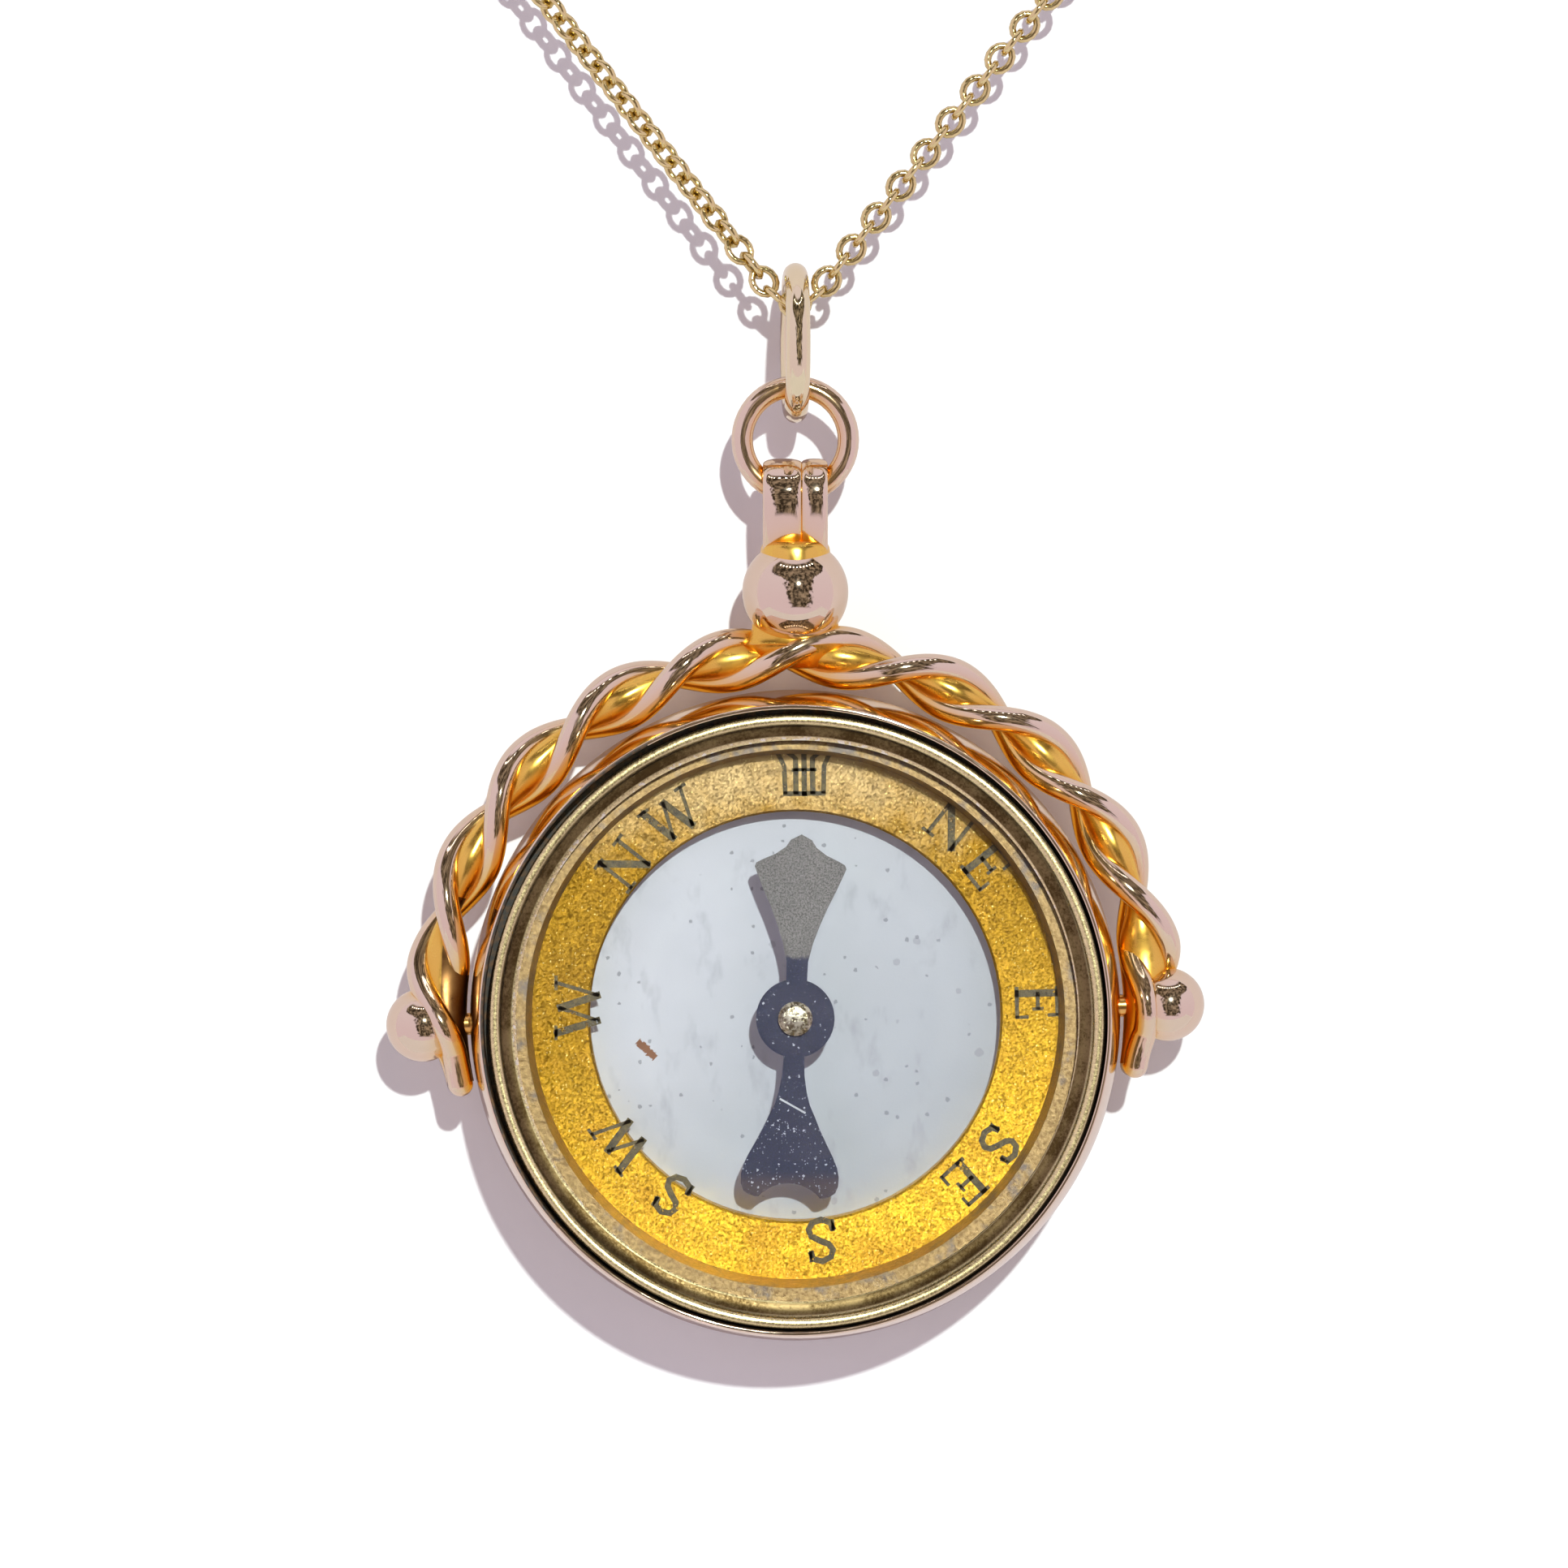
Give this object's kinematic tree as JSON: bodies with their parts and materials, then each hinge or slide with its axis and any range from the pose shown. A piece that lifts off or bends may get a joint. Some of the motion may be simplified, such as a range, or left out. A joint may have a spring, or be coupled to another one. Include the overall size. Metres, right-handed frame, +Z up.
{
  "type": "compass pendant necklace",
  "caption": "Round swivelling compass fob with a twisted wire arch, hung by two rings from a fine neck chain.",
  "frame": {"origin": "centre of the circle that the chain makes round the neck", "axes": "+Z up, towards the clasp at the nape; -Y is the front, where the compass faces; +X is to the viewer's right"},
  "size_m": [0.1292, 0.0066, 0.2075],
  "materials": {
    "chain_gold": "polished yellow gold",
    "pale_gold": "polished pale yellow gold",
    "rose_gold": "polished rose gold",
    "bezel_brass": "worn brass",
    "dull_brass": "dull brass",
    "gilt": "speckled gilding",
    "dial_white": "matt white with specks",
    "steel": "blued and bare steel",
    "crystal": "clear"
  },
  "bodies": {
    "necklace": {"chain": "chain_gold", "clasp": "chain_gold"},
    "bail": {"bail_ring": "pale_gold"},
    "link": {"jump_ring": "rose_gold"},
    "hanger": {"arch": "rose_gold", "pin_left": "rose_gold", "pin_right": "rose_gold"},
    "compass": {"case": "rose_gold", "capsule": "bezel_brass", "glass": "crystal", "spacer_ring": "dull_brass", "letter_ring": "gilt", "dial": "dial_white", "post": "steel"},
    "pointer": {"needle": "steel", "needle_cap": "bezel_brass"}
  },
  "joints": [
    {"name": "bail_swing", "type": "hinge", "parent": "necklace", "child": "bail", "pos_m": [0, 0, -0.10366], "axis": [1, 0, 0], "range_deg": [-75, 75]},
    {"name": "link_swing", "type": "hinge", "parent": "bail", "child": "link", "pos_m": [0, 0, -0.10765], "axis": [0, 1, 0], "range_deg": [-60, 60]},
    {"name": "hanger_swing", "type": "hinge", "parent": "link", "child": "hanger", "pos_m": [0, 0, -0.1107], "axis": [1, 0, 0], "range_deg": [-65, 65]},
    {"name": "case_spin", "type": "hinge", "parent": "hanger", "child": "compass", "pos_m": [0, 0, -0.1302], "axis": [0.9996, 0, 0.0279], "continuous": true},
    {"name": "needle_spin", "type": "hinge", "parent": "compass", "child": "pointer", "pos_m": [0, 0, -0.1302], "axis": [0, 1, 0], "continuous": true}
  ]
}
